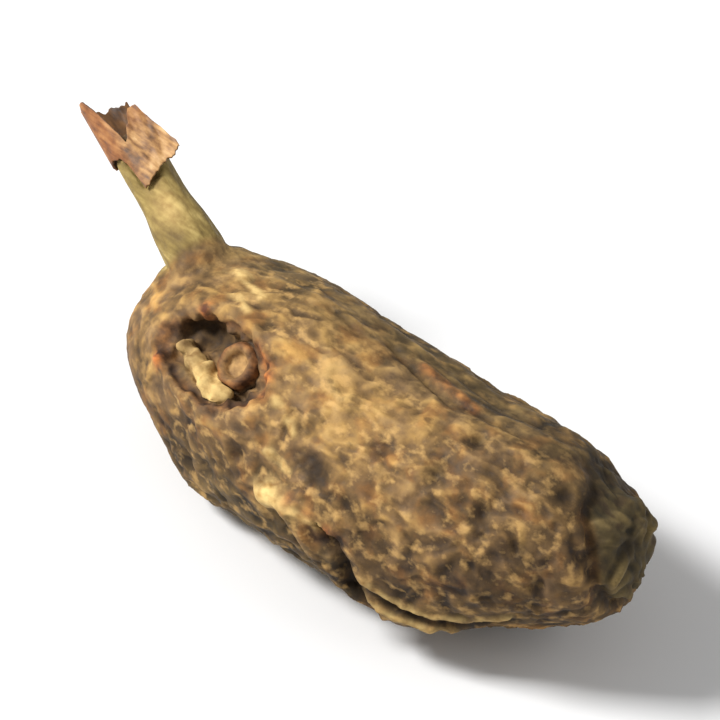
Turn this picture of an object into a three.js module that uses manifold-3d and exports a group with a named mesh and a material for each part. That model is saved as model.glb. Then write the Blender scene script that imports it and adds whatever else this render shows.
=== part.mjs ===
// Dried colchicum corm lying on its side, in millimetres, with +Z up.
// The body runs along X: the crown, with its broken shoot stub, is at -X and the basal scar is at +X.
// One grown piece makes the corm, and a scrap of dry leaf sheath still clasps its shoot stub.
import * as THREE from "three";
import { mergeVertices } from "three/addons/utils/BufferGeometryUtils.js";
import Module from "manifold-3d";

const wasm = await Module();
wasm.setup();

// Body: a loaf that is blunt above and behind, and rounded off earlier at its lower front edge.
// Elevations run round the body: 0 at the front, 90 on top, 180 at the back and -90 underneath.
const BODY_LENGTH = 32;
const BODY_WIDTH = 13.2;
const BODY_HEIGHT = 12.3;
const BODY_DETAIL = 19;
const LOW_EDGE_DEG = -38;
const CROWN_BLUNT_ABOVE = 2.8;
const CROWN_BLUNT_BELOW = 2.9;
const BASE_BLUNT_ABOVE = 3.3;
const BASE_BLUNT_BELOW = 1.9;
const CROWN_NARROWING = 0.1;
const NARROWING_FROM = 0.25;

// Both ends turn away from the lower front edge, from these shares of the half length on.
const BASE_TURN = 1.4;
const BASE_TURN_FROM = 0.15;
const CROWN_TURN = 0.5;
const CROWN_TURN_FROM = 0.3;
const TURN_UNTIL = 1.1;

// Flat spot underneath, and the angles from straight down over which the relief comes back beside it.
const REST_CUT_DEPTH = 0.6;
const REST_FLAT_DEG = 24;
const REST_CLEAR_DEG = 46;

// Uneven swellings left by drying: waves along the body and round it.
const LUMPS = [
  { height: 0.12, along: 5.1, round: 2, start: 0.4 },
  { height: 0.085, along: 8.3, round: -3, start: 2.1 },
  { height: 0.07, along: 12.7, round: 4, start: 4.4 },
];

// Lengthwise wrinkles along the top and back.
const WRINKLE_HEIGHT = 0.11;
const WRINKLE_SPACING_DEG = 17;
const WRINKLE_CENTRE_DEG = 112;
const WRINKLE_SPREAD_DEG = 34;
const WRINKLE_START_X = -9;
const WRINKLE_END_X = 13;
const WRINKLE_FADE = 5.5;
const WRINKLE_WANDER_DEG = 6;
const WRINKLE_WANDER_LENGTH = 25;

// Dent in the front face.
const DENT_DEPTH = 0.45;
const DENT_X = -0.4;
const DENT_DEG = 28;
const DENT_RADIUS = 1.6;

// Seam along the front: the skin of the upper side overhangs the lower side like a lip.
const SEAM_START_X = -0.4;
const SEAM_END_X = 12.5;
const SEAM_FADE = 3;
const SEAM_START_DEG = 10;
const SEAM_DROP_DEG = 48;
const SEAM_DROP_LENGTH = 7.5;
const LIP_HEIGHT = 0.55;
const LIP_RECESS = 0.65;
const LIP_SPREAD_DEG = 7;

// The lower front edge swells behind the crown.
const SHOULDER_HEIGHT = 0.5;
const SHOULDER_X = -8;
const SHOULDER_LENGTH = 2.8;
const SHOULDER_SPREAD_DEG = 24;

// Small bud at the start of the seam.
const BUD_LENGTH = 2.4;
const BUD_WIDTH = 1.3;
const BUD_TILT_DEG = 15;
const BUD_SINK = 0.1;

// Bud scar: an oval crater near the crown, with the stump of the old flower shoot in it.
const SCAR_X = -7.3;
const SCAR_DEG = 48.5;
const SCAR_LENGTH = 8.2;
const SCAR_WIDTH = 4.4;
const SCAR_DEPTH = 1.3;
const SCAR_TURN_DEG = 5;
const SCAR_TILT_DEG = 8;
const SCAR_RIM_HEIGHT = 0.35;
const SCAR_RIM_REACH = 1.15;
const SCAR_RIM_SPREAD = 0.35;
const SCAR_CLEARANCE = 1.5;
const STUMP_DIAMETER = 2.2;
const STUMP_TOP = -0.12;
const STUMP_DISH = 0.16;
const STUMP_AHEAD = 1.25;
const STUMP_ASIDE = -0.33;
const RIDGE_LENGTH = 4.7;
const RIDGE_WIDTH = 0.85;
const RIDGE_HEIGHT = 1.7;
const RIDGE_SINK = 0.8;
const RIDGE_TURN_DEG = -19;
const RIDGE_BEHIND = 0.6;
const RIDGE_ASIDE = 0.78;

// Basal scar: a low disc set off by a ring groove on the base end, behind and above its tip.
const BASAL_DIAMETER = 5.6;
const BASAL_BACK = 1.6;
const BASAL_ABOVE = 1.5;
const BASAL_RAISE = 0.2;
const BASAL_GROOVE_DEPTH = 0.3;
const BASAL_GROOVE_SPREAD = 0.5;
const BASAL_FROM = 0.6;
const BASAL_FULL = 0.8;

// Shoot stub on the shoulder of the crown: a sleeve, broken off round a thinner core.
const STUB_DIRECTION = new THREE.Vector3(-0.9, 0.2, 0.4).normalize();
const STUB_ROOT_X = -12.9;
const STUB_ROOT_DEG = 97;
const STUB_ROOT_DEPTH = 1.6;
const STUB_FOOT = 1.5;
const STUB_DIAMETER = 2.65;
const STUB_ROOT_DIAMETER = 3.2;
const STUB_TAPER_LENGTH = 5;
const SLEEVE_LENGTH = 8.65;
const CORE_LENGTH = 9.8;
const CORE_DIAMETER = 1.5;
const CORE_ROUNDING = 0.4;

// Scrap of dry sheath: a flat flap lies in a notch in front of the sleeve and stands free on the right,
// and a wall goes on from it round the left side to the back of the core.
const SHEATH_THICKNESS = 0.6;
const SHEATH_GAP = 0.15;
const SHEATH_LENGTH = 14;
const SHEATH_FACING_DEG = 24;
const SHEATH_SIDES = 30;
const FLAP_REACH = 2.1;
const WALL_TURN_DEG = 215;

// Torn outlines of the flap and the wall, and the notch under the flap: places left of the stub and along it.
const FLAP_OUTLINE = [
  [0.5, 6.35],
  [-2.06, 7.4],
  [-1.1, 10.4],
  [-0.8, 10.5],
  [0.1, 9.2],
  [0.45, 11.1],
  [1, 11.9],
  [2, 12.2],
  [2, 8.8],
  [0.75, 8.7],
  [0.6, 8.2],
];
const WALL_OUTLINE = [
  [-2, 8.8],
  [-2, 11],
  [-0.8, 11.7],
  [0.2, 12],
  [1, 11.9],
  [2, 12.2],
  [2, 8.8],
];
const NOTCH_OUTLINE = [
  [-3, 7.6],
  [0.62, 6.1],
  [0.8, 8.2],
  [0.95, 8.7],
  [0.95, 12],
  [-3, 12],
];

const ROUGH = 0.03;
const ROUND_SIDES = 24;
const CUTTER_SIZE = 100;
const CUTTER_LAP = 0.01;

const half = BODY_LENGTH / 2;
const skinMaterial = new THREE.MeshStandardMaterial({ color: 0x856b47, roughness: 0.85, metalness: 0 });
const sheathMaterial = new THREE.MeshStandardMaterial({ color: 0xa8703f, roughness: 0.75, metalness: 0 });

const radians = THREE.MathUtils.degToRad;
const fade = THREE.MathUtils.smoothstep;
const mix = THREE.MathUtils.lerp;

// 1 at the middle of a bell of the given spread, falling to 0 on both sides.
function bell(distance, spread) {
  return Math.exp(-((distance / spread) ** 2));
}

// 1 between two places, fading to 0 over a length inside each of them.
function between(x, start, end, length) {
  return fade(x, start, start + length) * (1 - fade(x, end - length, end));
}

// Turn from one elevation to another, between -180 and 180 degrees.
function turnFrom(start, end) {
  return THREE.MathUtils.euclideanModulo(end - start + 180, 360) - 180;
}

// Closed geometry as a solid that can be joined and cut.
function solidOf(geometry) {
  const bare = geometry.clone();
  bare.deleteAttribute("normal");
  bare.deleteAttribute("uv");
  const merged = mergeVertices(bare, 1e-4);
  return new wasm.Manifold(
    new wasm.Mesh({
      numProp: 3,
      vertProperties: merged.attributes.position.array,
      triVerts: new Uint32Array(merged.index.array),
    }),
  );
}

function geometryOf(solid) {
  const mesh = solid.getMesh();
  const geometry = new THREE.BufferGeometry();
  geometry.setAttribute("position", new THREE.BufferAttribute(mesh.vertProperties, 3));
  geometry.setIndex(new THREE.BufferAttribute(mesh.triVerts, 1));
  geometry.computeVertexNormals();
  return geometry;
}

// Outward direction across the body at an elevation.
function outward(elevation) {
  const round = radians(elevation);
  return new THREE.Vector3(0, -Math.cos(round), Math.sin(round));
}

// Middle line of the body at a share of its half length, from -1 at the crown to 1 at the base.
function spine(share) {
  const baseTurn = BASE_TURN * fade(share, BASE_TURN_FROM, TURN_UNTIL);
  const crownTurn = CROWN_TURN * fade(-share, CROWN_TURN_FROM, TURN_UNTIL);
  const middle = new THREE.Vector3(share * half, 0, BODY_HEIGHT / 2 - REST_CUT_DEPTH);
  return middle.addScaledVector(outward(LOW_EDGE_DEG), -baseTurn - crownTurn);
}

// Share of the full girth at a share of the half length and an elevation, and how blunt the end is there.
function girth(share, elevation) {
  const low = (1 + Math.cos(radians(turnFrom(LOW_EDGE_DEG, elevation)))) / 2;
  const above = share < 0 ? CROWN_BLUNT_ABOVE : BASE_BLUNT_ABOVE;
  const below = share < 0 ? CROWN_BLUNT_BELOW : BASE_BLUNT_BELOW;
  const bluntness = mix(above, below, low);
  const rounded = (1 - Math.abs(share) ** bluntness) ** (1 / bluntness);
  return { full: rounded * (1 - CROWN_NARROWING * fade(-share, NARROWING_FROM, 1)), bluntness };
}

function lumps(x, elevation) {
  const waves = LUMPS.map(
    ({ height, along, round, start }) =>
      height * Math.sin((along * x) / half + round * radians(elevation) + start),
  );
  return waves.reduce((sum, wave) => sum + wave, 0);
}

function wrinkles(x, elevation) {
  const band = bell(turnFrom(WRINKLE_CENTRE_DEG, elevation), WRINKLE_SPREAD_DEG);
  const span = between(x, WRINKLE_START_X, WRINKLE_END_X, WRINKLE_FADE);
  const wander = WRINKLE_WANDER_DEG * Math.sin((2 * Math.PI * x) / WRINKLE_WANDER_LENGTH);
  const turns = (turnFrom(WRINKLE_CENTRE_DEG, elevation) + wander) / WRINKLE_SPACING_DEG;
  return WRINKLE_HEIGHT * band * span * Math.sin(2 * Math.PI * turns);
}

function dent(x, elevation) {
  const aside = radians(turnFrom(DENT_DEG, elevation)) * (BODY_WIDTH / 2);
  return -DENT_DEPTH * bell(Math.hypot(x - DENT_X, aside), DENT_RADIUS);
}

// Elevation of the seam at a place along X.
function seamElevation(x) {
  return SEAM_START_DEG - SEAM_DROP_DEG * fade(x, SEAM_START_X, SEAM_START_X + SEAM_DROP_LENGTH);
}

function seam(x, elevation) {
  const span = between(x, SEAM_START_X - SEAM_FADE / 3, SEAM_END_X, SEAM_FADE);
  const above = turnFrom(seamElevation(x), elevation);
  const lip = LIP_HEIGHT * bell(above - LIP_SPREAD_DEG, LIP_SPREAD_DEG);
  const recess = LIP_RECESS * bell(above + LIP_SPREAD_DEG, LIP_SPREAD_DEG);
  return span * (lip - recess);
}

function shoulder(x, elevation) {
  const across = bell(turnFrom(LOW_EDGE_DEG, elevation), SHOULDER_SPREAD_DEG);
  return SHOULDER_HEIGHT * bell(x - SHOULDER_X, SHOULDER_LENGTH) * across;
}

// Low swelling round the bud scar.
function scarRim(x, elevation) {
  const aside = radians(turnFrom(SCAR_DEG, elevation)) * (BODY_HEIGHT / 2);
  const reach = Math.hypot((x - SCAR_X) / (SCAR_LENGTH / 2), aside / (SCAR_WIDTH / 2));
  return SCAR_RIM_HEIGHT * bell(reach - SCAR_RIM_REACH, SCAR_RIM_SPREAD);
}

// Height of the skin's relief, which dies out round the flat spot that the corm rests on.
function relief(x, elevation) {
  const clear = fade(Math.abs(turnFrom(-90, elevation)), REST_FLAT_DEG, REST_CLEAR_DEG);
  const parts = [lumps, wrinkles, dent, seam, shoulder, scarRim];
  return clear * parts.reduce((sum, part) => sum + part(x, elevation), 0);
}

// Disc and ring groove of the basal scar, seen along the body.
function basalScar(share, across) {
  const reach = Math.hypot(across.y - BASAL_BACK, across.z - BASAL_ABOVE);
  const rim = BASAL_DIAMETER / 2;
  const disc = BASAL_RAISE * (1 - fade(reach, rim / 2, rim));
  const groove = BASAL_GROOVE_DEPTH * bell(reach - rim, BASAL_GROOVE_SPREAD);
  return (disc - groove) * fade(share, BASAL_FROM, BASAL_FULL);
}

// Point of the skin at a share of the half length and an elevation, raised by an extra height.
// Relief stands along the skin's own normal, so that it shows on the blunt ends too.
function skinPoint(share, elevation, raise = 0) {
  const { full, bluntness } = girth(share, elevation);
  const out = outward(elevation);
  const across = new THREE.Vector3(0, (out.y * full * BODY_WIDTH) / 2, (out.z * full * BODY_HEIGHT) / 2);
  const normal = out.multiplyScalar(full ** (bluntness - 1) / BODY_WIDTH);
  normal.x = (Math.sign(share) * Math.abs(share) ** (bluntness - 1)) / BODY_LENGTH;
  const high = relief(share * half, elevation) * Math.min(1, 2 * full) + basalScar(share, across) + raise;
  return spine(share).add(across).addScaledVector(normal.normalize(), high);
}

function bodySolid() {
  const geometry = new THREE.IcosahedronGeometry(1, BODY_DETAIL);
  const places = geometry.attributes.position;
  const direction = new THREE.Vector3();
  for (let i = 0; i < places.count; i++) {
    direction.fromBufferAttribute(places, i);
    const elevation = THREE.MathUtils.radToDeg(Math.atan2(direction.z, -direction.y));
    const point = skinPoint(THREE.MathUtils.clamp(direction.x, -1, 1), elevation);
    places.setXYZ(i, point.x, point.y, point.z);
  }
  return solidOf(geometry);
}

// Matrix that stands a shape's Y axis on a place, along a normal, with its X axis near a heading.
function standing(place, normal, heading) {
  const side = heading.clone().cross(normal).normalize();
  const ahead = normal.clone().cross(side).normalize();
  return new THREE.Matrix4().makeBasis(ahead, normal, side).setPosition(place);
}

// Uneven round shape from an outline of [radius, height] points that starts and ends on the axis.
function turned(outline, sides) {
  const geometry = new THREE.LatheGeometry(
    outline.map(([radius, height]) => new THREE.Vector2(radius, height)),
    sides,
  );
  const places = geometry.attributes.position;
  for (let i = 0; i < places.count; i++) {
    const round = Math.atan2(places.getZ(i), places.getX(i));
    const waves = Math.sin(2 * round) + Math.sin(5 * round + 2) / 2 + Math.sin(9 * round) / 2;
    places.setX(i, places.getX(i) * (1 + ROUGH * waves));
    places.setZ(i, places.getZ(i) * (1 + ROUGH * waves));
  }
  return geometry;
}

// Frame of the bud scar: its middle on the skin, with Y out of the body and X along the scar.
// It leans towards the crown, as the skin does there.
function scarFrame() {
  const place = skinPoint(SCAR_X / half, SCAR_DEG, -SCAR_RIM_HEIGHT / 2);
  const out = outward(SCAR_DEG).multiplyScalar(Math.cos(radians(SCAR_TILT_DEG)));
  out.x = -Math.sin(radians(SCAR_TILT_DEG));
  const frame = standing(place, out, new THREE.Vector3(1, 0, 0));
  return frame.multiply(new THREE.Matrix4().makeRotationY(radians(SCAR_TURN_DEG)));
}

function scarBowl(frame) {
  const outline = [
    [0, -SCAR_DEPTH],
    [0.68, -SCAR_DEPTH * 0.9],
    [0.9, -SCAR_DEPTH * 0.4],
    [1, 0],
    [1.1, SCAR_CLEARANCE],
    [0, SCAR_CLEARANCE],
  ];
  const bowl = turned(outline, 2 * ROUND_SIDES);
  bowl.scale(SCAR_LENGTH / 2, 1, SCAR_WIDTH / 2);
  return solidOf(bowl.applyMatrix4(frame));
}

// Round stump with a dished top and a small boss in the dish.
function scarStump(frame) {
  const radius = STUMP_DIAMETER / 2;
  const foot = -2 * SCAR_DEPTH;
  const outline = [
    [0, foot],
    [radius, foot],
    [radius, STUMP_TOP - 3 * STUMP_DISH],
    [radius * 0.85, STUMP_TOP - STUMP_DISH / 2],
    [radius * 0.6, STUMP_TOP],
    [radius * 0.45, STUMP_TOP - STUMP_DISH],
    [0, STUMP_TOP - STUMP_DISH / 2],
  ];
  const stump = turned(outline, ROUND_SIDES);
  stump.translate(STUMP_AHEAD, 0, STUMP_ASIDE);
  return solidOf(stump.applyMatrix4(frame));
}

function scarRidge(frame) {
  const ridge = new THREE.CapsuleGeometry(RIDGE_WIDTH / 2, RIDGE_LENGTH - RIDGE_WIDTH, 4, 12);
  ridge.rotateZ(Math.PI / 2);
  ridge.scale(1, RIDGE_HEIGHT / RIDGE_WIDTH, 1);
  ridge.rotateY(radians(RIDGE_TURN_DEG));
  ridge.translate(-RIDGE_BEHIND, -RIDGE_SINK, RIDGE_ASIDE);
  return solidOf(ridge.applyMatrix4(frame));
}

function seamBud() {
  const bud = new THREE.SphereGeometry(1, 14, 8);
  bud.scale(BUD_LENGTH / 2, BUD_WIDTH / 2, BUD_WIDTH / 2);
  bud.rotateY(radians(BUD_TILT_DEG));
  const place = skinPoint(SEAM_START_X / half, SEAM_START_DEG, -BUD_SINK);
  bud.translate(place.x, place.y, place.z);
  return solidOf(bud);
}

// Frame of the shoot stub: Y along the stub, from its root inside the crown.
function stubFrame() {
  const root = skinPoint(STUB_ROOT_X / half, STUB_ROOT_DEG, -STUB_ROOT_DEPTH);
  return standing(root, STUB_DIRECTION, new THREE.Vector3(0, 0, 1));
}

function stubSleeve(frame) {
  const radius = STUB_DIAMETER / 2;
  const root = STUB_ROOT_DIAMETER / 2;
  const outline = [
    [0, -STUB_FOOT],
    [root, -STUB_FOOT],
    [root, STUB_TAPER_LENGTH * 0.1],
    [mix(root, radius, 0.6), STUB_TAPER_LENGTH * 0.45],
    [mix(root, radius, 0.9), STUB_TAPER_LENGTH * 0.7],
    [radius, STUB_TAPER_LENGTH],
    [radius, SLEEVE_LENGTH],
    [0, SLEEVE_LENGTH],
  ];
  return solidOf(turned(outline, ROUND_SIDES).applyMatrix4(frame));
}

function stubCore(frame) {
  const radius = CORE_DIAMETER / 2;
  const outline = [
    [0, 0],
    [radius, 0],
    [radius, CORE_LENGTH - CORE_ROUNDING],
    [radius * 0.75, CORE_LENGTH],
    [0, CORE_LENGTH - CORE_ROUNDING / 2],
  ];
  return solidOf(turned(outline, ROUND_SIDES).applyMatrix4(frame));
}

// Directions to the left across the sheath's flap, out of it and along the stub, in the stub's frame.
function sheathSides() {
  const facing = radians(SHEATH_FACING_DEG);
  const left = new THREE.Vector3(-Math.sin(facing), 0, Math.cos(facing));
  const out = new THREE.Vector3(Math.cos(facing), 0, Math.sin(facing));
  return { left, out, along: new THREE.Vector3(0, 1, 0) };
}

// Block with an outline across the sheath, between two distances out from the stub's axis.
function sheathBlock(frame, outline, near, far) {
  const shape = new THREE.Shape(outline.map(([aside, height]) => new THREE.Vector2(aside, height)));
  const block = new THREE.ExtrudeGeometry(shape, { depth: far - near, bevelEnabled: false });
  const { left, out, along } = sheathSides();
  block.translate(0, 0, -far);
  block.applyMatrix4(new THREE.Matrix4().makeBasis(left, along, out.negate()));
  return solidOf(block.applyMatrix4(frame));
}

function stubSolid(frame) {
  const notch = sheathBlock(frame, NOTCH_OUTLINE, sheathRadius() - SHEATH_GAP, CUTTER_SIZE);
  return stubSleeve(frame).subtract(notch).add(stubCore(frame));
}

// Radius of the sheath's inner face.
function sheathRadius() {
  return (CORE_DIAMETER / 2) * (1 + ROUGH) + SHEATH_GAP;
}

// One face of the sheath in section: straight across the flap, then round the left side to the back.
function sheathFace(radius) {
  const arc = Array.from({ length: SHEATH_SIDES + 1 }, (_, i) => {
    const round = (radians(WALL_TURN_DEG) * i) / SHEATH_SIDES;
    return new THREE.Vector2(radius * Math.sin(round), radius * Math.cos(round));
  });
  return [new THREE.Vector2(-FLAP_REACH, radius), ...arc];
}

function sheathSolid(frame) {
  const inner = sheathRadius();
  const section = new THREE.Shape([...sheathFace(inner + SHEATH_THICKNESS), ...sheathFace(inner).reverse()]);
  const shell = new THREE.ExtrudeGeometry(section, { depth: SHEATH_LENGTH, bevelEnabled: false });
  const { left, out, along } = sheathSides();
  shell.applyMatrix4(new THREE.Matrix4().makeBasis(left, out, along));
  const flap = sheathBlock(frame, FLAP_OUTLINE, -CUTTER_LAP, CUTTER_SIZE);
  const wall = sheathBlock(frame, WALL_OUTLINE, -CUTTER_SIZE, 0);
  return solidOf(shell.applyMatrix4(frame)).intersect(flap.add(wall));
}

// Everything below the surface that the corm lies on.
function belowGround() {
  const ground = new THREE.BoxGeometry(CUTTER_SIZE, CUTTER_SIZE, CUTTER_SIZE);
  ground.translate(0, 0, -CUTTER_SIZE / 2);
  return solidOf(ground);
}

function cormSolid() {
  const scar = scarFrame();
  return bodySolid()
    .add(seamBud())
    .subtract(scarBowl(scar))
    .add(scarStump(scar))
    .add(scarRidge(scar))
    .add(stubSolid(stubFrame()))
    .subtract(belowGround());
}

function piece(name, solid, material) {
  const mesh = new THREE.Mesh(geometryOf(solid), material);
  mesh.name = name;
  return mesh;
}

const part = new THREE.Group();
part.add(piece("corm", cormSolid(), skinMaterial));
part.add(piece("sheath_scrap", sheathSolid(stubFrame()), sheathMaterial));

// The origin is at the middle of the whole part's box, on the surface that it lies on.
const box = new THREE.Box3().setFromObject(part);
const middle = box.getCenter(new THREE.Vector3());
part.children.forEach((mesh) => mesh.position.set(-middle.x, -middle.y, -box.min.z));

export default part;
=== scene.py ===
"""A dried colchicum corm: mottled skin, bud scar, shoot stub and a scrap of papery leaf sheath."""
import math

import bpy
import numpy as np
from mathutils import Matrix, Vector, noise


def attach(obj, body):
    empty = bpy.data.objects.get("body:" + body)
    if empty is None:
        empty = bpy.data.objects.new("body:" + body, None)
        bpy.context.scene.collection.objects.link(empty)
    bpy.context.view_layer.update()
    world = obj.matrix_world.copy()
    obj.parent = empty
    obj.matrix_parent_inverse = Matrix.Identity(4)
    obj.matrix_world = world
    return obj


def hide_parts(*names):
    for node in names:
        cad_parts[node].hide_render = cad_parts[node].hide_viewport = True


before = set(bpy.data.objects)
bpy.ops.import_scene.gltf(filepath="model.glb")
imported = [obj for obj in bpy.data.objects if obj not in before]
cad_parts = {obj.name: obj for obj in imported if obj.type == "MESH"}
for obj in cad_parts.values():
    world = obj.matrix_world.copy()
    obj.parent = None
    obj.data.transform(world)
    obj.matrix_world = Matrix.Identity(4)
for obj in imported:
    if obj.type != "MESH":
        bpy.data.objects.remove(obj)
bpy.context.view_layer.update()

# Shapes are worked out in millimetres from the middle of the body's foot, and stored in metres.
MM = 0.001
BODY_MIDDLE = np.array((3.707, 0.155, 0.0))

# Middle line of the body, which turns up and back towards both ends, away from its lower front edge.
HALF_LENGTH = 16.0
AXIS_Z = 5.55
LOW_EDGE_DEG = 38
BASE_TURN, BASE_TURN_FROM, BASE_TURN_UNTIL = 1.4, 0.15, 1.1
CROWN_TURN, CROWN_TURN_FROM, CROWN_TURN_UNTIL = 0.5, 0.3, 1.1

# Bud scar: its middle, how far up it faces, its tilt to the crown and its turn, and what stands in it.
SCAR_AT = (-7.293, -4.045, 9.879)
SCAR_DEG, SCAR_TILT_DEG, SCAR_TURN_DEG = 48.5, 8, 5
SCAR_HALF = (4.1, 2.2)
STUMP_AT, STUMP_RADIUS = (1.25, -0.33), 1.1
STUMP_RISE, STUMP_RIM_RISE, DISH_RADIUS, DISH_DEPTH = 0.1, 0.08, 1.0, 0.5
RIDGE_AT, RIDGE_DEG, RIDGE_HALF = (-0.6, 0.78), 19, (2.35, 0.45)
RIDGE_RISE, RIDGE_END_RISE = 0.06, 0.2
CAVITY_AT, CAVITY_HALF, CAVITY_DEPTH = (-1.7, -1.0), (1.7, 0.8), 0.7
FLOOR_RISE, BANK_RISE = 0.15, 0.3
RIM_FLECKS, RIM_FLECK_RADIUS, RIM_FLECK_RISE = ((-3.4, 1.3), (-2.1, -2.0), (3.9, -0.6)), 0.42, 0.12

# Shoot stub: its root and direction, its foot, and the stripes and the pale patch on it.
STUB_AT = (-12.154, 0.663, 8.63)
STUB_DIRECTION = (-0.9, 0.2, 0.4)
SLEEVE_LENGTH = 8.65
FOOT_SWELL, FOOT_NECK_AT, FOOT_NECK_DEPTH = 0.22, 1.85, 0.05
STRIPE_SIZE, STRIPE_STRETCH, STRIPE_RISE = 0.42, 7, 0.03
PATCH_ALONG, PATCH_ASIDE, PATCH_HALF = 4.6, 0.5, (1.3, 0.6)

# Seam along the front, the bud at its start, the dent above it and the flange below it.
SEAM_START_X, SEAM_END_X = -0.4, 12.5
SEAM_DEG, SEAM_DROP_DEG, SEAM_DROP_LENGTH = 10, 48, 7.5
LIP_ABOVE, LIP_RISE = 0.4, 0.16
RECESS_BELOW, RECESS_DEPTH = 0.5, 0.24
BUD_AT, BUD_HALF, BUD_RISE = (-0.2, -6.7, 6.9), (1.3, 0.9, 0.7), 0.22
DENT_AT, DENT_HALF, DENT_DEPTH = (1.2, -5.5, 9.1), (1.5, 1.1, 0.9), 0.25
GAP = (
    (2.8, -6.6, 7.0),
    (3.4, -6.6, 6.6),
    (4.3, -6.5, 5.8),
    (4.9, -6.4, 4.6),
    (5.4, -6.3, 3.7),
    (5.9, -6.0, 2.8),
)
GAP_HALF, GAP_WIDENING, GAP_DEPTH = 0.16, 0.2, 0.8
CREASE = (
    (5.6, -6.0, 4.2),
    (7.3, -5.4, 3.7),
    (8.9, -4.8, 3.6),
    (10.4, -4.1, 3.7),
    (11.6, -3.2, 3.9),
    (12.8, -2.4, 4.5),
)
CREASE_HALF, CREASE_DEPTH = 0.24, 0.3
EDGES = (
    ((5.5, -6.1, 3.6), (6.8, -5.6, 3.2), (8.3, -5.2, 3.1), (10.2, -4.2, 3.2)),
    ((5.8, -6.0, 5.0), (7.7, -5.4, 4.2), (9.3, -4.6, 3.9), (11.0, -3.9, 4.3), (12.6, -2.9, 5.0)),
)
EDGE_HALF, EDGE_RISE = 0.22, 0.22
SEAM_FLECKS, SEAM_FLECK_RADIUS = ((0.9, -6.65, 7.5), (2.3, -6.6, 7.2), (3.5, -6.5, 6.85)), 0.35

# Lengthwise furrows on the top, the deepest of them, and the amber crest beside it.
FURROWS_DEG, FURROWS_SPREAD_DEG, FURROW_DEPTH = 112, 19, 0.22
FURROW = ((-0.6, 2.1, 11.3), (1.2, 1.7, 11.4), (2.8, 1.4, 11.4), (4.6, 1.0, 11.6))
FURROW_HALF = 0.24
FURROW_CREST = ((1.6, 2.2, 11.3), (5.6, 1.6, 11.4))
CREST_HALF, CREST_RISE = 0.34, 0.12

# Basal scar on the base end, seen along the body.
BASAL_Y, BASAL_Z, BASAL_RADIUS = 2.665, 7.885, 2.8
GROOVE_HALF, GROOVE_DEPTH = 0.35, 0.34
BASAL_GRAIN_RISE = 0.08

# Dark pits with their radius, and pale streaks with their half width.
PITS = (
    ((15.9, 2.2, 8.5), 0.8),
    ((7.2, -2.6, 11.0), 0.55),
    ((12.7, -2.4, 9.4), 0.6),
    ((14.0, -2.3, 7.8), 0.5),
    ((13.0, 0.7, 11.1), 0.5),
    ((15.0, -0.6, 9.3), 0.45),
    ((10.4, -2.4, 10.3), 0.45),
    ((7.5, 0.0, 11.6), 0.4),
    ((0.0, -4.5, 10.1), 0.4),
    ((-3.3, -6.3, 7.3), 0.4),
    ((-5.6, -6.3, 4.9), 0.5),
    ((-7.3, -6.0, 4.0), 0.5),
    ((-9.3, -5.6, 3.6), 0.5),
)
STREAKS = (
    ((-10.8, 0.8, 10.7), (-7.7, -0.2, 11.4), 0.28),
    ((-8.8, -0.9, 11.2), (-7.4, -1.5, 11.6), 0.25),
    ((-2.3, -4.25, 10.4), (-0.6, -4.8, 9.8), 0.25),
    ((-1.6, -5.6, 8.4), (0.0, -5.7, 8.2), 0.25),
    ((0.1, -6.8, 6.9), (3.0, -6.5, 7.0), 0.3),
)
PIT_DEPTH, STREAK_RISE = 0.3, 0.08

# Relief of the skin: sizes of its forms, their stretch along the body, and how far they rise or sink.
LUMP_SIZE, LUMP_STRETCH, LUMP_RISE = 4.2, (1.8, 1, 1), 0.07
WRINKLE_SIZE, WRINKLE_STRETCH, WRINKLE_RISE = 1.3, (4, 1, 1), 0.08
GRAIN_SIZE, GRAIN_STRETCH, GRAIN_RISE = 0.75, (2, 1, 1), 0.05
PEBBLE_SIZE, PEBBLE_STRETCH, PEBBLE_RISE = 0.4, (1.6, 1, 1), 0.022
HOLLOW_SIZE, HOLLOW_STRETCH, HOLLOW_DEPTH = 1.0, (1.6, 1, 1), 0.1
FURROWS_SIZE, FURROWS_STRETCH = 1.1, (14, 1, 1)

# Brightest part of the skin, along the body and round it: the middle and spread of the painted light on the
# upper front.
PAINTED_LIGHT_X, PAINTED_LIGHT_LENGTH, PAINTED_LIGHT_DEG, PAINTED_LIGHT_SPREAD_DEG = -0.5, 6, 66, 32

# Grain of the finished skin mesh.
VOXEL = 0.137
SMOOTHING_ROUNDS = 8

# Way from one seed's noise to the next, and what brings noise to about unit spread.
SEED_STEP = np.array((3.1, 7.7, 5.3))
NOISE_GAIN = 3.2


def fade(value, start, end):
    """0 before start, 1 after end and smooth between them."""
    share = np.clip((value - start) / (end - start), 0, 1)
    return share * share * (3 - 2 * share)


def fade_out(value, start, end):
    """1 before start, 0 after end and smooth between them."""
    return fade(-value, -end, -start)


def bell(distance, spread):
    """1 at distance 0, falling to 0 on both sides."""
    return np.exp(-((distance / spread) ** 2))


def waves(points, size, seed, stretch=(1, 1, 1)):
    """Smooth noise of about unit spread at each point, with features of the given size."""
    placed = points / (size * np.array(stretch)) + SEED_STEP * seed
    return NOISE_GAIN * np.array([noise.noise(place) for place in placed.tolist()])


def crests(points, size, seed, stretch=(1, 1, 1)):
    """1 along winding lines and about 0 between them."""
    return np.clip(1 - np.abs(waves(points, size, seed, stretch)), 0, 1) ** 2


def warped(points, size, reach, seed):
    """The points, each pushed about by smooth noise."""
    push = [waves(points, size, seed + axis) for axis in range(3)]
    return points + reach * np.stack(push, axis=1)


def unit(vector):
    """The direction of a vector, with a length of 1."""
    return np.array(vector) / np.linalg.norm(vector)


def local(points, origin, axes):
    """Coordinates of the points along each of the axes from an origin."""
    return [(points - np.array(origin)) @ axis for axis in axes]


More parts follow.
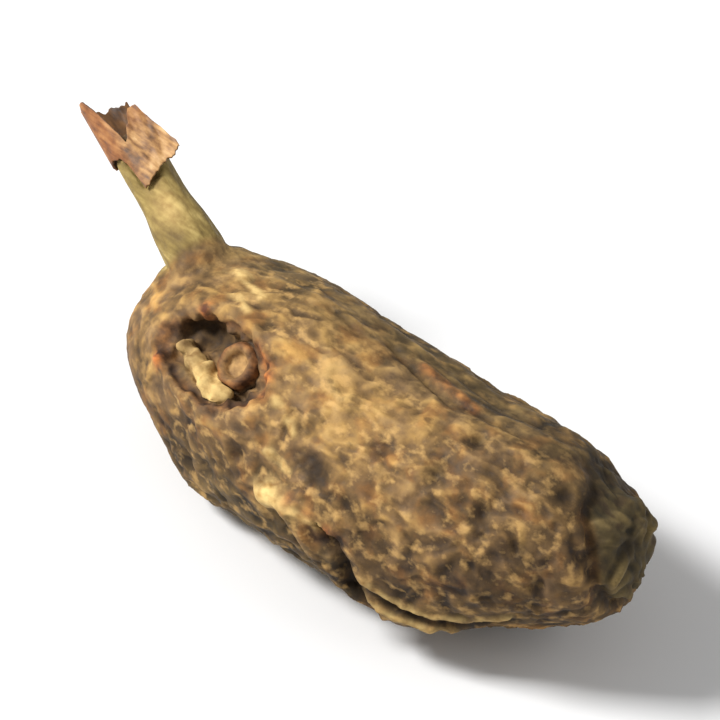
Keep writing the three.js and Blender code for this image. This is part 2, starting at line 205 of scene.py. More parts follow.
def line_distance(points, start, end):
    """How far the points are from the stretch between two places."""
    way = np.array(end) - np.array(start)
    share = np.clip((points - np.array(start)) @ way / (way @ way), 0, 1)
    return np.linalg.norm(points - np.array(start) - share[:, None] * way, axis=1)


def path_distance(points, places):
    """How far the points are from a path through some places."""
    return np.minimum.reduce([line_distance(points, *ends) for ends in zip(places, places[1:])])


def oval_distance(points, middle, halves=(1, 1, 1)):
    """How far the points are from a middle, in half sizes of an oval body round it."""
    return np.linalg.norm((points - np.array(middle)) / np.array(halves), axis=1)


def strongest(*shares):
    """The largest of several shares at each point."""
    return np.maximum.reduce(shares)


def dense_mesh(node, voxel):
    """Mesh, points and edges of a fine, even copy of a CAD node, in millimetres."""
    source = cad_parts[node].data.copy()
    points = np.empty(len(source.vertices) * 3)
    source.vertices.foreach_get("co", points)
    source.vertices.foreach_set("co", points / MM)
    carrier = bpy.data.objects.new(node + "_carrier", source)
    bpy.context.scene.collection.objects.link(carrier)
    remesh = carrier.modifiers.new("even", "REMESH")
    remesh.mode = "VOXEL"
    remesh.voxel_size = voxel
    graph = bpy.context.evaluated_depsgraph_get()
    mesh = bpy.data.meshes.new_from_object(carrier.evaluated_get(graph))
    bpy.data.objects.remove(carrier)
    points = np.empty(len(mesh.vertices) * 3)
    mesh.vertices.foreach_get("co", points)
    edges = np.empty(len(mesh.edges) * 2, dtype=np.int32)
    mesh.edges.foreach_get("vertices", edges)
    return mesh, points.reshape(-1, 3) - BODY_MIDDLE, edges.reshape(-1, 2)


def relaxed(points, edges, rounds):
    """The points, each moved towards the middle of its neighbours a number of times."""
    ends = np.concatenate([edges, edges[:, ::-1]])
    count = np.bincount(ends[:, 0], minlength=len(points))
    for _ in range(rounds):
        sums = [np.bincount(ends[:, 0], points[ends[:, 1], axis], len(points)) for axis in range(3)]
        points = 0.5 * points + 0.5 * np.stack(sums, axis=1) / count[:, None]
    return points


def place(mesh, points):
    """Puts the points, in millimetres, into the mesh and gives their normals."""
    mesh.vertices.foreach_set("co", ((points + BODY_MIDDLE) * MM).ravel())
    mesh.update()
    normals = np.empty(len(points) * 3)
    mesh.vertex_normals.foreach_get("vector", normals)
    return normals.reshape(-1, 3)


def keep(mesh, name, values):
    """Stores one number for each point, for the material to read."""
    mesh.attributes.new(name, "FLOAT", "POINT").data.foreach_set("value", np.clip(values, 0, 1))


class Shader:
    """A node material that is put together step by step."""

    def __init__(self, name):
        self.material = bpy.data.materials.new(name)
        self.material.use_nodes = True
        self.tree = self.material.node_tree
        self.surface = self.tree.nodes["Principled BSDF"]
        self.where = self.tree.nodes.new("ShaderNodeTexCoord").outputs["Object"]

    def put(self, socket, value):
        """Links a socket to another one, or sets it to a value."""
        if isinstance(value, bpy.types.NodeSocket):
            self.tree.links.new(value, socket)
        else:
            socket.default_value = value

    def attribute(self, name):
        """A number that is stored for each point of the mesh."""
        node = self.tree.nodes.new("ShaderNodeAttribute")
        node.attribute_name = name
        return node.outputs["Fac"]

    def noise(self, size, detail=3.0, stretch=(1, 1, 1), turn=(0, 0, 0)):
        """Noise with features of a size in millimetres, stretched; a turn gives another pattern."""
        scale = self.tree.nodes.new("ShaderNodeMapping")
        scale.inputs["Rotation"].default_value = turn
        scale.inputs["Scale"].default_value = [1 / (size * MM * s) for s in stretch]
        self.put(scale.inputs["Vector"], self.where)
        node = self.tree.nodes.new("ShaderNodeTexNoise")
        node.inputs["Scale"].default_value = 1
        node.inputs["Detail"].default_value = detail
        self.put(node.inputs["Vector"], scale.outputs["Vector"])
        return node.outputs["Fac"]

    def math(self, operation, first, second):
        """One sum or product of two values."""
        node = self.tree.nodes.new("ShaderNodeMath")
        node.operation = operation
        self.put(node.inputs[0], first)
        self.put(node.inputs[1], second)
        return node.outputs[0]

    def total(self, *shares):
        """Sum of values, each times its weight."""
        scaled = [self.math("MULTIPLY", value, weight) for value, weight in shares]
        result = scaled[0]
        for value in scaled[1:]:
            result = self.math("ADD", result, value)
        return result

    def between(self, value, start, end):
        """0 at start and 1 at end of a range of the value."""
        node = self.tree.nodes.new("ShaderNodeMapRange")
        self.put(node.inputs["Value"], value)
        node.inputs["From Min"].default_value = start
        node.inputs["From Max"].default_value = end
        return node.outputs["Result"]

    def ramp(self, value, stops):
        """A colour for each value, by stops of position and colour."""
        node = self.tree.nodes.new("ShaderNodeValToRGB")
        elements = node.color_ramp.elements
        while len(elements) < len(stops):
            elements.new(1)
        for element, (position, colour) in zip(elements, stops):
            element.position = position
            element.color = colour
        self.put(node.inputs["Fac"], value)
        return node.outputs["Color"]

    def mix(self, first, second, share):
        """The first colour, with a share of the second."""
        node = self.tree.nodes.new("ShaderNodeMix")
        node.data_type = "RGBA"
        colours = [socket for socket in node.inputs if socket.type == "RGBA"]
        self.put(node.inputs["Factor"], share)
        self.put(colours[0], first)
        self.put(colours[1], second)
        return [socket for socket in node.outputs if socket.type == "RGBA"][0]

    def bump(self, height, distance, strength=1.0):
        """Fine relief by shading alone, with its height in millimetres."""
        node = self.tree.nodes.new("ShaderNodeBump")
        node.inputs["Strength"].default_value = strength
        node.inputs["Distance"].default_value = distance * MM
        self.put(node.inputs["Height"], height)
        self.put(self.surface.inputs["Normal"], node.outputs["Normal"])


def srgb(red, green, blue):
    """A screen colour, 0 to 255, as the linear colour that a shader takes."""
    shares = [channel / 255 for channel in (red, green, blue)]
    return [s / 12.92 if s <= 0.04045 else ((s + 0.055) / 1.055) ** 2.4 for s in shares] + [1.0]


def grey(level):
    """A grey of a linear level, as a colour."""
    return (level, level, level, 1.0)


def finished(mesh, name, node, material):
    """Makes a piece of a mesh, standing for a CAD node."""
    mesh.materials.clear()
    mesh.materials.append(material)
    mesh.polygons.foreach_set("use_smooth", np.ones(len(mesh.polygons), dtype=bool))
    piece = bpy.data.objects.new(name, mesh)
    bpy.context.scene.collection.objects.link(piece)
    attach(piece, "root")
    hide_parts(node)


# Turn of the fibres' noise, which gives them a pattern of their own.
FIBRE_TURN = (0, 0.42, -0.22)


def skin_material():
    """Mottled skin, with the colours of the shoot, the scar and the marks laid over it by their shares."""
    shader = Shader("corm_skin")
    fine = shader.noise(0.5, 4, (1.3, 1, 1))
    patches = shader.noise(1.2, 4, (1.4, 1, 1))
    level = shader.total(
        # colour that follows the relief: the skin's own mottling, with painted shade in the valleys and
        # painted highlights on the ridges
        (shader.attribute("fold_colour_and_painted_shade"), 0.36),
        (fine, 0.32),
        (patches, 0.3),
        # painted light and shade of the skin: lighter on the upper front, darker underneath and on the back
        (shader.attribute("tone_and_painted_light"), 0.42),
    )
    skin = shader.ramp(level, [
        (0.34, srgb(48, 35, 20)),
        (0.5, srgb(88, 66, 38)),
        (0.62, srgb(128, 98, 57)),
        (0.76, srgb(174, 136, 78)),
        (0.94, srgb(214, 174, 106)),
    ])
    olive = shader.ramp(level, [
        (0.34, srgb(45, 38, 22)),
        (0.55, srgb(92, 77, 46)),
        (0.8, srgb(140, 119, 74)),
    ])
    dusky = shader.ramp(level, [
        (0.34, srgb(50, 38, 28)),
        (0.62, srgb(126, 97, 63)),
        (0.94, srgb(200, 162, 105)),
    ])
    amber = shader.ramp(level, [
        (0.34, srgb(54, 34, 18)),
        (0.62, srgb(142, 100, 54)),
        (0.94, srgb(224, 174, 98)),
    ])
    colour = shader.mix(skin, dusky, shader.between(shader.noise(2.2, 3), 0.46, 0.64))
    amber_patches = shader.noise(1.6, 3, turn=(0.3, 0.5, 0.2))
    colour = shader.mix(colour, amber, shader.between(amber_patches, 0.52, 0.66))
    colour = shader.mix(colour, olive, shader.attribute("olive"))
    # Pale flecks: partly flaking skin and partly painted highlights on the bumps, with more of them where the
    # painted light is.
    scurf_and_painted_highlights = shader.between(shader.noise(0.62, 4, (1.3, 1, 1)), 0.52, 0.68)
    scurf_and_painted_highlights = shader.math("MULTIPLY", scurf_and_painted_highlights, shader.attribute("scurf_and_painted_highlights"))
    colour = shader.mix(colour, srgb(206, 164, 100), scurf_and_painted_highlights)
    specks = shader.between(shader.noise(0.9, 4, (1.4, 1, 1), (0.4, 0.2, 0.1)), 0.44, 0.33)
    specks = shader.math("MULTIPLY", specks, shader.attribute("speck"))
    colour = shader.mix(colour, srgb(58, 42, 27), specks)

    streak = shader.noise(0.4, 3, (7, 1, 1), FIBRE_TURN)
    shoot = shader.ramp(shader.total((streak, 0.6), (fine, 0.2), (patches, 0.2)), [
        (0.32, srgb(106, 87, 48)),
        (0.5, srgb(146, 124, 70)),
        (0.66, srgb(190, 166, 102)),
    ])
    colour = shader.mix(colour, shoot, shader.attribute("shoot"))
    sore = shader.ramp(shader.total((fine, 0.6), (patches, 0.4)), [
        (0.36, srgb(70, 52, 35)),
        (0.5, srgb(112, 86, 56)),
        (0.64, srgb(158, 122, 76)),
    ])
    colour = shader.mix(colour, sore, shader.attribute("sore"))
    rust = shader.ramp(fine, [(0.35, srgb(92, 46, 22)), (0.65, srgb(214, 130, 66))])
    colour = shader.mix(colour, rust, shader.attribute("rust"))
    pink = shader.ramp(fine, [(0.35, srgb(124, 92, 56)), (0.65, srgb(190, 150, 96))])
    colour = shader.mix(colour, pink, shader.attribute("pink"))
    pale = shader.ramp(fine, [(0.3, srgb(174, 132, 70)), (0.62, srgb(234, 200, 130))])
    colour = shader.mix(colour, pale, shader.attribute("pale"))
    # Near black laid over dark marks, and as painted shade in the bud scar, along the seam, on the stub and
    # in the hollows.
    colour = shader.mix(colour, srgb(26, 18, 12), shader.attribute("dark_marks_and_painted_shade"))
    shader.put(shader.surface.inputs["Base Color"], colour)
    shader.put(shader.surface.inputs["Roughness"], shader.ramp(fine, [(0.3, grey(0.66)), (0.7, grey(0.88))]))
    shader.surface.inputs["Specular IOR Level"].default_value = 0.3
    shader.bump(shader.total((fine, 1.0), (shader.noise(0.2, 2), 0.5)), 0.06, 0.8)
    return shader.material


def spine(x):
    """Middle of the body, across and up, at places along it."""
    share = x / HALF_LENGTH
    turn = BASE_TURN * fade(share, BASE_TURN_FROM, BASE_TURN_UNTIL)
    turn = turn + CROWN_TURN * fade(-share, CROWN_TURN_FROM, CROWN_TURN_UNTIL)
    low_edge = math.radians(LOW_EDGE_DEG)
    return math.cos(low_edge) * turn, AXIS_Z + math.sin(low_edge) * turn


def scar_axes():
    """Directions along the bud scar, across it and out of it."""
    facing, tilt, turn = [math.radians(angle) for angle in (SCAR_DEG, SCAR_TILT_DEG, SCAR_TURN_DEG)]
    level = math.cos(tilt)
    out = np.array((-math.sin(tilt), -math.cos(facing) * level, math.sin(facing) * level))
    side = unit(np.cross((1, 0, 0), out))
    ahead = np.cross(out, side)
    along = math.cos(turn) * ahead - math.sin(turn) * side
    across = math.sin(turn) * ahead + math.cos(turn) * side
    return along, across, out


def stub_axes():
    """Directions along the shoot stub, up from it and to its front."""
    along = unit(STUB_DIRECTION)
    front = unit(np.cross((0, 0, 1), along))
    return along, np.cross(along, front), front


def scar_parts(points):
    """Shares of the parts of the bud scar at each point, and the relief on them."""
    x, y, z = local(points, SCAR_AT, scar_axes())
    grain = waves(points, 0.55, 81)
    reach = np.hypot(x / SCAR_HALF[0], y / SCAR_HALF[1]) + 0.05 * waves(points, 1.1, 5) + 0.02 * grain
    near = fade(z, -3.5, -2.5)
    inside = fade_out(reach, 0.93, 1.02) * near
    rim = bell(reach - 0.99, 0.09) * near

    ring = np.hypot(x - STUMP_AT[0], y - STUMP_AT[1])
    stump = fade_out(ring, STUMP_RADIUS - 0.1, STUMP_RADIUS + 0.15) * inside * fade(z, -1.2, -0.7)
    slant = math.radians(RIDGE_DEG)
    ridge_x = (x - RIDGE_AT[0]) * math.cos(slant) + (y - RIDGE_AT[1]) * math.sin(slant)
    ridge_y = (y - RIDGE_AT[1]) * math.cos(slant) - (x - RIDGE_AT[0]) * math.sin(slant)
    ridge = fade_out(np.abs(ridge_y + 0.06 * grain), RIDGE_HALF[1], RIDGE_HALF[1] + 0.2)
    ridge = ridge * fade_out(np.abs(ridge_x), RIDGE_HALF[0] - 0.2, RIDGE_HALF[0] + 0.15)
    ridge = ridge * inside * fade(z, -1.1, -0.6) * (1 - stump)
    floor = inside * (1 - np.maximum(stump, ridge)) * fade_out(z, -0.8, -0.3)
    # The cavity is sunk and also painted dark: painted shade in the deep part of the scar.
    cavity = np.hypot((x - CAVITY_AT[0]) / CAVITY_HALF[0], (y - CAVITY_AT[1]) / CAVITY_HALF[1])
    cavity = bell(cavity, 1) * floor
    bank = floor * fade(ridge_y, 0.2, 0.5) * fade(x, -2.6, -1.6)
    wall = np.maximum(inside * (1 - strongest(floor, stump, ridge)), 0.4 * rim)
    flecks = near * sum(bell(np.hypot(x - at[0], y - at[1]), RIM_FLECK_RADIUS) for at in RIM_FLECKS)

    fibres = waves(np.stack([ridge_x / 3, ridge_y, z], axis=1), 0.45, 95)
    dish = DISH_DEPTH * fade_out(ring, DISH_RADIUS / 2, DISH_RADIUS)
    relief = rim * (0.04 + 0.1 * grain) + RIM_FLECK_RISE * flecks + BANK_RISE * bank
    relief += stump * (STUMP_RISE + 0.05 * grain + STUMP_RIM_RISE * bell(ring - DISH_RADIUS, 0.2) - dish)
    relief += floor * (FLOOR_RISE + 0.15 * waves(points, 0.8, 91) + 0.06 * grain) - CAVITY_DEPTH * cavity
    relief += ridge * (RIDGE_RISE + 0.08 * fibres + 0.1 * grain + RIDGE_END_RISE * fade(ridge_x, -1.5, 1.8))
    return {
        "relief": relief,
        "inside": inside,
        "wall": wall,
        "worn": wall * (0.25 + 0.4 * fade(x, 1.0, 3.0)),
        "floor": floor,
        "cavity": cavity,
        "stump": stump,
        "ring": stump * bell(ring - 1.02, 0.22),
        # painted shade in the channel round the stump
        "moat_painted_shade": inside * bell(ring - STUMP_RADIUS - 0.15, 0.2) * (1 - ridge),
        "ridge": np.maximum(ridge * (0.3 + 0.5 * fade(ridge_x, -1.8, 1.2)), 0.3 * bank),
        # painted shadow under the scar's inner rim, on one side
        "edge": inside * bell(reach - 0.93, 0.08) * fade(y, 0.2, 1.0) * (1 - ridge),
        "flecks": flecks,
    }


def shoot_parts(points):
    """Shares of the shoot stub, its broken core, foot, pale patch and the side with painted shade, and the
    relief on it.
    """
    along, up, aside = local(points, STUB_AT, stub_axes())
    from_stub = np.hypot(up, aside)
    shoot = fade(along, 1.7, 2.4) * fade_out(from_stub, 1.9, 2.5)
    stripes = waves(np.stack([along / STRIPE_STRETCH, up, aside], axis=1), STRIPE_SIZE, 71)
    swell = fade(along, 0.4, 1.6) * fade_out(along, 3.6, 6.0) * fade_out(from_stub, 2.2, 3.0)
    # the neck at the stub's foot is sunk, and also darkened as painted shade
    foot = bell(along - FOOT_NECK_AT, 0.4) * fade_out(from_stub, 1.9, 2.6)
    patch = np.hypot((along - PATCH_ALONG) / PATCH_HALF[0], (aside - PATCH_ASIDE) / PATCH_HALF[1])
    return {
        "relief": STRIPE_RISE * shoot * stripes + FOOT_SWELL * swell - FOOT_NECK_DEPTH * foot,
        "shoot": shoot,
        "core": shoot * fade(along, SLEEVE_LENGTH - 0.6, SLEEVE_LENGTH) * fade_out(from_stub, 0.9, 1.15),
        "foot": foot,
        "patch": shoot * bell(patch, 1) * fade(up, 0, 0.5),
        "painted_shade_side": shoot * fade_out(aside, -1.1, -0.2),
    }


def seam_parts(points, turn_deg, girth):
    """Shares of the seam's lip, gap and edges, the flange, the bud and the dent, and the relief on them."""
    x = points[:, 0]
    wander = 0.1 * waves(points, 1.2, 15)
    seam_deg = SEAM_DEG - SEAM_DROP_DEG * fade(x, SEAM_START_X, SEAM_START_X + SEAM_DROP_LENGTH)
    span = fade(x, SEAM_START_X - 0.6, SEAM_START_X + 1) * fade_out(x, SEAM_END_X - 3, SEAM_END_X)
    above = np.radians(turn_deg - seam_deg) * girth + wander
    lip = span * bell(above - LIP_ABOVE, 0.4)
    recess = span * bell(above + RECESS_BELOW, 0.4)
    # The gap and the crease are sunk, and are also painted dark as painted shade.
    gap = bell(path_distance(points, GAP) + 0.5 * wander, GAP_HALF + GAP_WIDENING * fade(x, 3, 5))
    crease = bell(path_distance(points, CREASE) + 0.5 * wander, CREASE_HALF)
    edges = strongest(*[bell(path_distance(points, path) + 0.5 * wander, EDGE_HALF) for path in EDGES])
    flange = fade_out(turn_deg, -2, 8) * fade(turn_deg, -75, -50) * fade(x, -10, -4) * fade_out(x, 4.6, 5.6)
    bud = bell(oval_distance(points, BUD_AT, BUD_HALF), 0.9)
    dent = fade_out(oval_distance(points, DENT_AT, DENT_HALF) + wander, 0.4, 1.1)
    relief = LIP_RISE * lip - RECESS_DEPTH * recess - GAP_DEPTH * gap - CREASE_DEPTH * crease
    relief += EDGE_RISE * edges - DENT_DEPTH * dent + BUD_RISE * bud
    return {
        "relief": relief,
        "lip": lip,
        # painted shade along the seam's gap, the crease and the recess
        "gap": strongest(0.97 * gap, 0.85 * crease, 0.5 * recess),
        "edges": edges * (1 - crease),
        "flange": flange * (1 - gap),
        "bud": bud,
        "dent": dent,
        "flecks": strongest(*[bell(oval_distance(points, at), SEAM_FLECK_RADIUS) for at in SEAM_FLECKS]),
    }


def base_parts(points):
    """Shares of the basal scar and of the groove round it at each point."""
    x, y, z = points.T
    reach = np.hypot(y - BASAL_Y, z - BASAL_Z) + 0.15 * waves(points, 1.5, 25)
    on_base = fade(x, 9.5, 12.5)
    return {
        "cap": on_base * fade_out(reach, BASAL_RADIUS - 0.5, BASAL_RADIUS),
        "groove": on_base * bell(reach - BASAL_RADIUS, GROOVE_HALF),
    }


def mark_parts(points):
    """Shares of the dark pits and of the pale streaks at each point."""
    wide = 1 + 0.35 * waves(points, 0.7, 27)
    return {
        "pits": strongest(*[bell(oval_distance(points, at), radius) for at, radius in PITS]),
        "streaks": strongest(*[bell(line_distance(points, *ends), half * wide) for *ends, half in STREAKS]),
    }


def skin_parts(points, turn_deg):
    """Lumps, wrinkles, grains, hollows and furrows of the skin; it is calmer at the crown and on the back."""
    x = points[:, 0]
    past_crown = fade(x, -8, -4)
    bent = warped(points, 1.8, 0.35, 11)
    back = bell(turn_deg - FURROWS_DEG, FURROWS_SPREAD_DEG) * past_crown * fade_out(x, 9, 13)
    furrows = back * crests(points, FURROWS_SIZE, 45, FURROWS_STRETCH)
    calm_back = bell(turn_deg - 115, 27) * past_crown
    return {
        "lumps": waves(points, LUMP_SIZE, 61, LUMP_STRETCH),
        "wrinkles": crests(bent, WRINKLE_SIZE, 21, WRINKLE_STRETCH) - 0.35,
        "grains": waves(bent, GRAIN_SIZE, 31, GRAIN_STRETCH),
        "pebbles": waves(bent, PEBBLE_SIZE, 51, PEBBLE_STRETCH),
        "hollows": fade(waves(points, HOLLOW_SIZE, 41, HOLLOW_STRETCH), 1.05, 1.7),
        "furrows": np.maximum(furrows, 1.2 * bell(path_distance(points, FURROW), FURROW_HALF)),
        "crest": bell(path_distance(points, FURROW_CREST), CREST_HALF),
        "calm": (1 - 0.55 * fade_out(x, -10.5, -7.5)) * (1 - 0.65 * calm_back),
    }


def skin_tone_and_painted_light(x, turn_deg):
    """How light the skin is: painted light, most on the upper front, and painted shade on the underside and
    on the back; it is also least at the base.
    """
    front = bell(np.hypot((x - PAINTED_LIGHT_X) / PAINTED_LIGHT_LENGTH, (turn_deg - PAINTED_LIGHT_DEG) / PAINTED_LIGHT_SPREAD_DEG), 1)
    tone_and_painted_light = 0.28 + 0.38 * front + 0.1 * fade_out(x, -10, -6)
    tone_and_painted_light = tone_and_painted_light - 0.04 * fade(x, -8, -4) - 0.1 * fade(x, 5, 15)
    return tone_and_painted_light - 0.22 * fade_out(turn_deg, -5, 40) - 0.12 * fade(turn_deg, 95, 130)


def skin_looks(x, turn_deg, body, parts):
    """The shares that the skin's material reads, by their names there."""
    scar, stub, seam, base, marks, skin = parts
    tone_and_painted_light = skin_tone_and_painted_light(x, turn_deg)
    shoot = stub["shoot"] * (1 - stub["core"])
    # Colour that follows the wrinkles, grains and pebbles of the relief: the skin's own mottling, with
    # painted shade in their valleys and painted highlights on their ridges.
    fold_colour_and_painted_shade = 0.45 + 0.3 * skin["wrinkles"] + 0.16 * skin["grains"] + 0.07 * skin["pebbles"]
    olive = 0.65 * bell(turn_deg - 128, 32) + 0.3 * fade_out(turn_deg, -40, 5)
    olive = olive + 0.85 * base["cap"] + 0.45 * seam["flange"]
    return {
        # painted shade: darker in the hollows of the skin
        "fold_colour_and_painted_shade": fold_colour_and_painted_shade - 0.2 * skin["hollows"],
        # painted light and shade of the skin, a little lighter along the seam's lip
        "tone_and_painted_light": tone_and_painted_light + 0.12 * seam["lip"],
        # pale flecks, partly flaking skin and partly painted highlights, more where the painted light is
        "scurf_and_painted_highlights": (0.5 + 0.65 * tone_and_painted_light) * (1 - base["cap"]) * (1 - seam["dent"]) * skin["calm"],
        "speck": (0.38 + 0.2 * fade(x, -8, 4)) * (1 - shoot),
        "olive": olive * (1 - shoot),
        "shoot": shoot,
        "sore": strongest(scar["floor"], scar["wall"], scar["inside"], stub["core"]),
        "rust": strongest(
            scar["flecks"],
            scar["worn"],
            0.8 * scar["ring"],
            0.7 * seam["flecks"],
            0.4 * skin["crest"],
        ),
        "pink": 0.85 * scar["stump"] - 0.6 * scar["ring"],
        "pale": strongest(
            scar["ridge"],
            1.3 * seam["bud"],
            0.6 * seam["edges"],
            0.8 * marks["streaks"],
            0.55 * stub["patch"],
        ),
        # dark marks and painted shade, each by its share
        "dark_marks_and_painted_shade": strongest(
            # painted shade inside the bud scar: the cavity, a little on the floor and wall, under the inner
            # rim and round the stump
            0.8 * scar["cavity"],
            0.12 * scar["floor"],
            0.25 * scar["wall"],
            0.85 * scar["edge"],
            0.7 * scar["moat_painted_shade"],
            0.5 * scar["ring"],
            0.45 * stub["core"],
            # painted shade in the crease at the stub's foot and on one side of the stub
            0.3 * stub["foot"],
            0.3 * stub["painted_shade_side"],
            # painted shade in the seam's gap, crease and recess
            seam["gap"],
            0.68 * seam["dent"],
            0.65 * base["groove"],
            0.72 * marks["pits"],
            0.45 * skin["furrows"],
            # painted shade in the hollows of the skin
            0.3 * skin["hollows"] * body * skin["calm"],
        ),
    }


def corm_skin():
    """The whole corm: a fine copy of its solid, with the relief and the looks of its skin."""
    mesh, points, edges = dense_mesh("corm", VOXEL)
    points = relaxed(points, edges, SMOOTHING_ROUNDS)
    normals = place(mesh, points)
    x, y, z = points.T
    middle_y, middle_z = spine(x)
    girth = np.hypot(y - middle_y, z - middle_z)
    turn_deg = np.degrees(np.arctan2(z - middle_z, middle_y - y))
    scar = scar_parts(points)
    stub = shoot_parts(points)
    seam = seam_parts(points, turn_deg, girth)
    base = base_parts(points)
    marks = mark_parts(points)
    skin = skin_parts(points, turn_deg)
    body = (1 - stub["shoot"]) * (1 - scar["inside"]) * (1 - 0.6 * np.maximum(seam["bud"], seam["lip"]))

    rough = LUMP_RISE * skin["lumps"] + WRINKLE_RISE * skin["wrinkles"] + GRAIN_RISE * skin["grains"]
    rough += PEBBLE_RISE * skin["pebbles"] - HOLLOW_DEPTH * skin["hollows"]
    height = body * (skin["calm"] * rough - FURROW_DEPTH * skin["furrows"])
    height += scar["relief"] + stub["relief"] + seam["relief"]
    height += STREAK_RISE * marks["streaks"] + CREST_RISE * skin["crest"] - PIT_DEPTH * marks["pits"]
    height += BASAL_GRAIN_RISE * base["cap"] * skin["grains"] - GROOVE_DEPTH * base["groove"]
    outside = points + height[:, None] * normals
    outside[:, 2] = np.maximum(outside[:, 2], 0)
    place(mesh, outside)
    for name, values in skin_looks(x, turn_deg, body, (scar, stub, seam, base, marks, skin)).items():
        keep(mesh, name, values)
    finished(mesh, "corm_skin", "corm", skin_material())


# Sheath scrap: a flat flap in front that turns round the left of the stub into a back wall. Its two edges
# are given as lengths along the stub at places on the run from the flap's right corner.
SHEATH_COLUMNS, SHEATH_ROWS = 180, 60
SHEATH_RADIUS, SHEATH_THICKNESS = 1.42, 0.13
SHEATH_FACING_DEG = 24
FLAP_REACH = 2.1
WALL_TURN_DEG = 215
TEAR_FROM, TEAR_UNTIL = 2.45, 3.0
TEAR_FIRST_COLUMN, TEAR_LAST_COLUMN = 0.3, 0.6
FLAP_LIFT, FLAP_LIFT_WIDTH = 0.2, 0.9
BURNT_FROM, BURNT_UNTIL = 8.6, 10.2
SHEATH_TOP = (
    (0, 7.5),
    (0.9, 10.4),
    (1.35, 10.5),
    (2.3, 8.9),
    (2.85, 11.2),
    (3.4, 12.2),
    (4.33, 12.2),
    (6.4, 12.0),
    (7.43, 11.7),
)
SHEATH_FOOT = ((0, 7.25), (2.6, 6.2), (2.8, 8.0), (3.1, 8.5), (4.33, 8.6), (7.43, 8.7))


def sheath_material():
    """Fibrous papery sheath, browner towards its tear and its tip, with painted shade on its inner face."""
    shader = Shader("dry_sheath")
    fibre = shader.noise(0.25, 4, (8, 1, 1), FIBRE_TURN)
    stain = shader.noise(0.8, 4)
    level = shader.total((fibre, 0.5), (stain, 0.5))
    flap = shader.ramp(level, [
        (0.37, srgb(92, 64, 40)),
        (0.46, srgb(144, 102, 60)),
        (0.55, srgb(188, 142, 88)),
        (0.65, srgb(220, 178, 124)),
    ])
    burnt = shader.ramp(level, [
        (0.36, srgb(84, 48, 22)),
        (0.5, srgb(142, 88, 45)),
        (0.66, srgb(186, 130, 76)),
    ])
    # painted shade on the inner face of the sheath
    painted_inner_shade = shader.ramp(level, [(0.35, srgb(54, 33, 15)), (0.65, srgb(120, 80, 37))])
    colour = shader.mix(flap, burnt, shader.attribute("burnt"))
    colour = shader.mix(colour, painted_inner_shade, shader.attribute("painted_inner_shade"))
    shader.put(shader.surface.inputs["Base Color"], colour)
    shader.put(shader.surface.inputs["Roughness"], shader.ramp(fibre, [(0.3, grey(0.5)), (0.7, grey(0.75))]))
    shader.bump(level, 0.05, 0.8)
    return shader.material


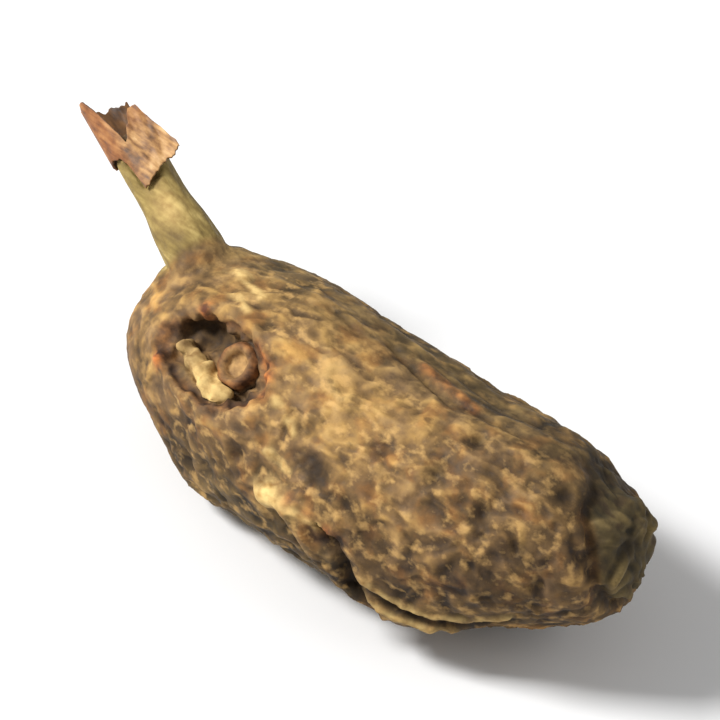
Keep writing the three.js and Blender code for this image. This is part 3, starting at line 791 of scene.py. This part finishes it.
def sheath_scrap():
    """The scrap of sheath round the stub: a thin sheet of columns and rows with torn edges."""
    columns, rows = SHEATH_COLUMNS, SHEATH_ROWS
    length = FLAP_REACH + math.radians(WALL_TURN_DEG) * SHEATH_RADIUS
    # Columns stand closest together where the flap's lower corner is torn.
    shares = (0, TEAR_FIRST_COLUMN, TEAR_LAST_COLUMN, 1)
    run = np.interp(np.linspace(0, 1, columns), shares, (0, TEAR_FROM, TEAR_UNTIL, length))
    angle = np.maximum(run - FLAP_REACH, 0) / SHEATH_RADIUS
    left = np.where(run < FLAP_REACH, run - FLAP_REACH, SHEATH_RADIUS * np.sin(angle))
    outward = np.where(run < FLAP_REACH, SHEATH_RADIUS, SHEATH_RADIUS * np.cos(angle))

    line = np.stack([run, 0 * run, 0 * run], axis=1)
    top = np.interp(run, *zip(*SHEATH_TOP)) + 0.1 * waves(line, 0.5, 3) + 0.06 * waves(line, 0.18, 4)
    foot = np.interp(run, *zip(*SHEATH_FOOT)) + 0.06 * waves(line, 0.5, 6) + 0.04 * waves(line, 0.18, 7)
    rise = np.linspace(0, 1, rows)[None, :]
    along = foot[:, None] + (top - foot)[:, None] * rise
    grid = np.stack([np.repeat(run[:, None], rows, 1), along / 3, 0 * along], axis=2).reshape(-1, 3)
    crumple = (0.05 * waves(grid, 0.8, 8) + 0.02 * waves(grid, 0.3, 9)).reshape(columns, rows)
    lift = FLAP_LIFT * fade_out(run, 0, FLAP_LIFT_WIDTH)
    out = (outward + lift)[:, None] + crumple

    facing = math.radians(SHEATH_FACING_DEG)
    stub, upward, front = stub_axes()
    face = upward * math.cos(facing) + front * math.sin(facing)
    side = front * math.cos(facing) - upward * math.sin(facing)
    middle = BODY_MIDDLE + np.array(STUB_AT) + along[..., None] * stub + out[..., None] * face
    middle = middle + left[:, None, None] * side

    normal = np.cross(np.gradient(middle, axis=1), np.gradient(middle, axis=0))
    normal /= np.linalg.norm(normal, axis=2, keepdims=True)
    layers = [middle + normal * SHEATH_THICKNESS / 2, middle - normal * SHEATH_THICKNESS / 2]
    points = np.concatenate([layer.reshape(-1, 3) for layer in layers])

    def number(i, j, layer):
        """Number of the point at a column and a row of one of the two layers."""
        return layer * columns * rows + i * rows + j

    faces = []
    for i in range(columns - 1):
        for j in range(rows - 1):
            corners = [(i, j), (i, j + 1), (i + 1, j + 1), (i + 1, j)]
            faces.append([number(*corner, 0) for corner in corners])
            faces.append([number(*corner, 1) for corner in reversed(corners)])
    border = [(i, 0) for i in range(columns)] + [(columns - 1, j) for j in range(1, rows)]
    border += [(i, rows - 1) for i in range(columns - 2, -1, -1)] + [(0, j) for j in range(rows - 2, 0, -1)]
    for here, following in zip(border, border[1:] + border[:1]):
        faces.append([number(*here, 0), number(*following, 0), number(*following, 1), number(*here, 1)])

    mesh = bpy.data.meshes.new("sheath_scrap")
    mesh.from_pydata((points * MM).tolist(), [], faces)
    by_tear = fade(run, TEAR_FROM - 0.2, TEAR_UNTIL)[:, None]
    burnt = np.maximum(by_tear, 0.75 * fade(along, BURNT_FROM, BURNT_UNTIL)).ravel()
    keep(mesh, "burnt", np.concatenate([burnt, burnt]))
    # the inner layer gets the painted shade
    keep(mesh, "painted_inner_shade", np.repeat([0.0, 1.0], columns * rows))
    finished(mesh, "sheath_paper", "sheath_scrap", sheath_material())


# Camera and lights.
VIEW_AZIMUTH, VIEW_ELEVATION = 46, 42
VIEW_DISTANCE = 0.27
FRAME_SHARE = 0.8
FLOOR_SIZE = 4
SKY_STRENGTH = 0.35


def studio():
    """Pale floor, soft lights and the camera."""
    bpy.ops.mesh.primitive_plane_add(size=FLOOR_SIZE)
    floor = bpy.context.object
    floor.name = "floor"
    shader = Shader("floor")
    tint = shader.ramp(shader.noise(40), [(0.3, grey(0.8)), (0.7, grey(0.84))])
    shader.put(shader.surface.inputs["Base Color"], tint)
    shader.surface.inputs["Roughness"].default_value = 0.9
    floor.data.materials.append(shader.material)

    azimuth, elevation = math.radians(VIEW_AZIMUTH), math.radians(VIEW_ELEVATION)
    level = math.cos(elevation)
    back = Vector((math.sin(azimuth) * level, -math.cos(azimuth) * level, math.sin(elevation)))
    right = Vector((math.cos(azimuth), math.sin(azimuth), 0))
    above = back.cross(right)
    axes = (right, above, back)
    seen = [vertex.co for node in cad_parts.values() for vertex in node.data.vertices]
    spans = [(min(axis.dot(p) for p in seen), max(axis.dot(p) for p in seen)) for axis in axes]
    aim = sum((axis * sum(span) / 2 for axis, span in zip(axes, spans)), Vector())
    field = max(high - low for low, high in spans[:2]) / FRAME_SHARE
    camera = bpy.data.objects.new("camera", bpy.data.cameras.new("camera"))
    camera.data.lens = camera.data.sensor_width * VIEW_DISTANCE / field
    camera.data.clip_start = 0.01
    camera.location = aim + back * VIEW_DISTANCE
    camera.rotation_euler = back.to_track_quat("Z", "Y").to_euler()
    bpy.context.scene.collection.objects.link(camera)
    bpy.context.scene.camera = camera

    def lamp(name, direction, distance, size, power):
        """A square soft light, pointed at the part."""
        light = bpy.data.lights.new(name, "AREA")
        light.size = size
        light.energy = power
        holder = bpy.data.objects.new(name, light)
        holder.location = aim + direction.normalized() * distance
        holder.rotation_euler = direction.to_track_quat("Z", "Y").to_euler()
        bpy.context.scene.collection.objects.link(holder)

    lamp("key", back * 0.5 - right * 0.75 + above * 0.65, distance=0.45, size=0.12, power=2.6)
    lamp("fill", back * 0.5 + right * 0.9 + above * 0.25, distance=0.5, size=0.4, power=0.65)

    world = bpy.data.worlds.new("studio")
    bpy.context.scene.world = world
    world.use_nodes = True
    sky = world.node_tree.nodes["Background"]
    sky.inputs["Color"].default_value = (1, 1, 1, 1)
    sky.inputs["Strength"].default_value = SKY_STRENGTH
    bpy.context.scene.view_settings.view_transform = "Standard"


corm_skin()
sheath_scrap()
studio()
